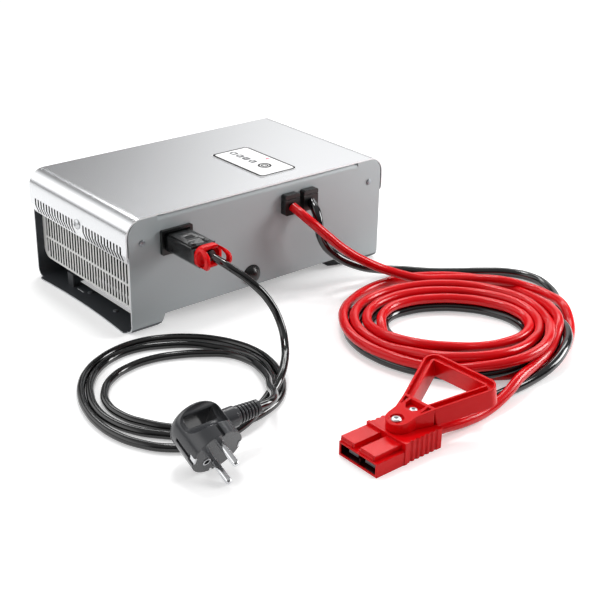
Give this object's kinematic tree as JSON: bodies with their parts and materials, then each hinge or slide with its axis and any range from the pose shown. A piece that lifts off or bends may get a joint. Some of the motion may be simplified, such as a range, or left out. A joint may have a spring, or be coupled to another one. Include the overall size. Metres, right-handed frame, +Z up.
{
  "type": "battery charger",
  "caption": "Mains battery charger in a vented sheet-metal housing, with a coiled mains lead and two coiled output cables ending in a handled battery connector.",
  "frame": {"origin": "centre of the housing's bounding box in plan, at the floor it stands on; the cords with their plug and battery connector are not counted", "axes": "+X to the right along the front plate, seen from the cords' side; +Y from the front plate, where the cords leave, to the back; +Z up"},
  "size_m": [0.434, 0.4314, 0.0986],
  "materials": {
    "chassis_paint": "silver-grey powder coat outside, dark grey paint inside",
    "tray_paint": "dark grey paint on folded sheet",
    "white_steel": "fine matt white coat on punched sheet",
    "cover_metal": "satin silver powder coat on bent sheet",
    "rivet_metal": "drawn rivet heads",
    "screw_metal": "bright zinc plate",
    "panel_film": "white film with a thin dark outline",
    "circuit_board": "green solder mask on glass-fibre board",
    "black_plastic": "moulded, light grain",
    "grip_plastic": "moulded flexible plastic, fine grain",
    "plug_plastic": "moulded flexible plastic, satin",
    "red_plastic": "moulded, half gloss",
    "contact_metal": "plated contact metal",
    "plated_brass": "nickel-plated brass",
    "black_rubber": "half-gloss rubber",
    "black_sheath": "flexible cord sheath, soft sheen",
    "red_sheath": "flexible cable sheath, soft sheen",
    "core_iron": "pressed ferrite core",
    "winding_tape": "tape over the winding",
    "copper_wire": "enamelled copper wire",
    "sink_aluminium": "extruded, plain",
    "capacitor_sleeve": "shrink sleeve"
  },
  "bodies": {
    "charger": {"chassis": "chassis_paint", "chassis_rivets": "rivet_metal", "inner_tray": "tray_paint", "left_grille": "white_steel", "right_grille": "white_steel", "top_cover": "cover_metal", "cover_screws": "screw_metal", "control_panel": "panel_film", "display_board": "circuit_board", "mains_inlet": "black_plastic", "inlet_pins": "contact_metal", "positive_outlet": "black_plastic", "negative_outlet": "black_plastic", "stopper": "black_rubber", "main_board": "circuit_board", "board_standoffs": "screw_metal", "transformer_core": "core_iron", "transformer_winding": "winding_tape", "output_choke": "copper_wire", "heat_sink": "sink_aluminium", "power_devices": "black_plastic", "bus_capacitors": "capacitor_sleeve", "fan_frame": "black_plastic", "fan_screws": "screw_metal", "mains_connector": "grip_plastic", "mains_lead": "black_sheath", "mains_coil": "black_sheath", "mains_tail": "black_sheath", "mains_plug": "plug_plastic", "plug_pins": "plated_brass", "plug_earth_clips": "plated_brass", "red_lead": "red_sheath", "black_lead": "black_sheath", "red_coil": "red_sheath", "black_coil": "black_sheath", "red_tail": "red_sheath", "black_tail": "black_sheath", "dc_connector": "red_plastic", "dc_contacts": "contact_metal", "dc_handle": "red_plastic", "handle_screws": "screw_metal"},
    "fan_rotor_body": {"fan_rotor": "black_plastic"},
    "release_collar_body": {"release_collar": "red_plastic"}
  },
  "joints": [
    {"name": "fan_spin", "type": "hinge", "parent": "charger", "child": "fan_rotor_body", "pos_m": [0.1015, 0.003, 0.0545], "axis": [1, 0, 0], "continuous": true},
    {"name": "collar_release", "type": "slide", "parent": "charger", "child": "release_collar_body", "axis": [0, -1, 0], "range_m": [0, 0.0025], "stiffness_N_per_m": 400}
  ]
}
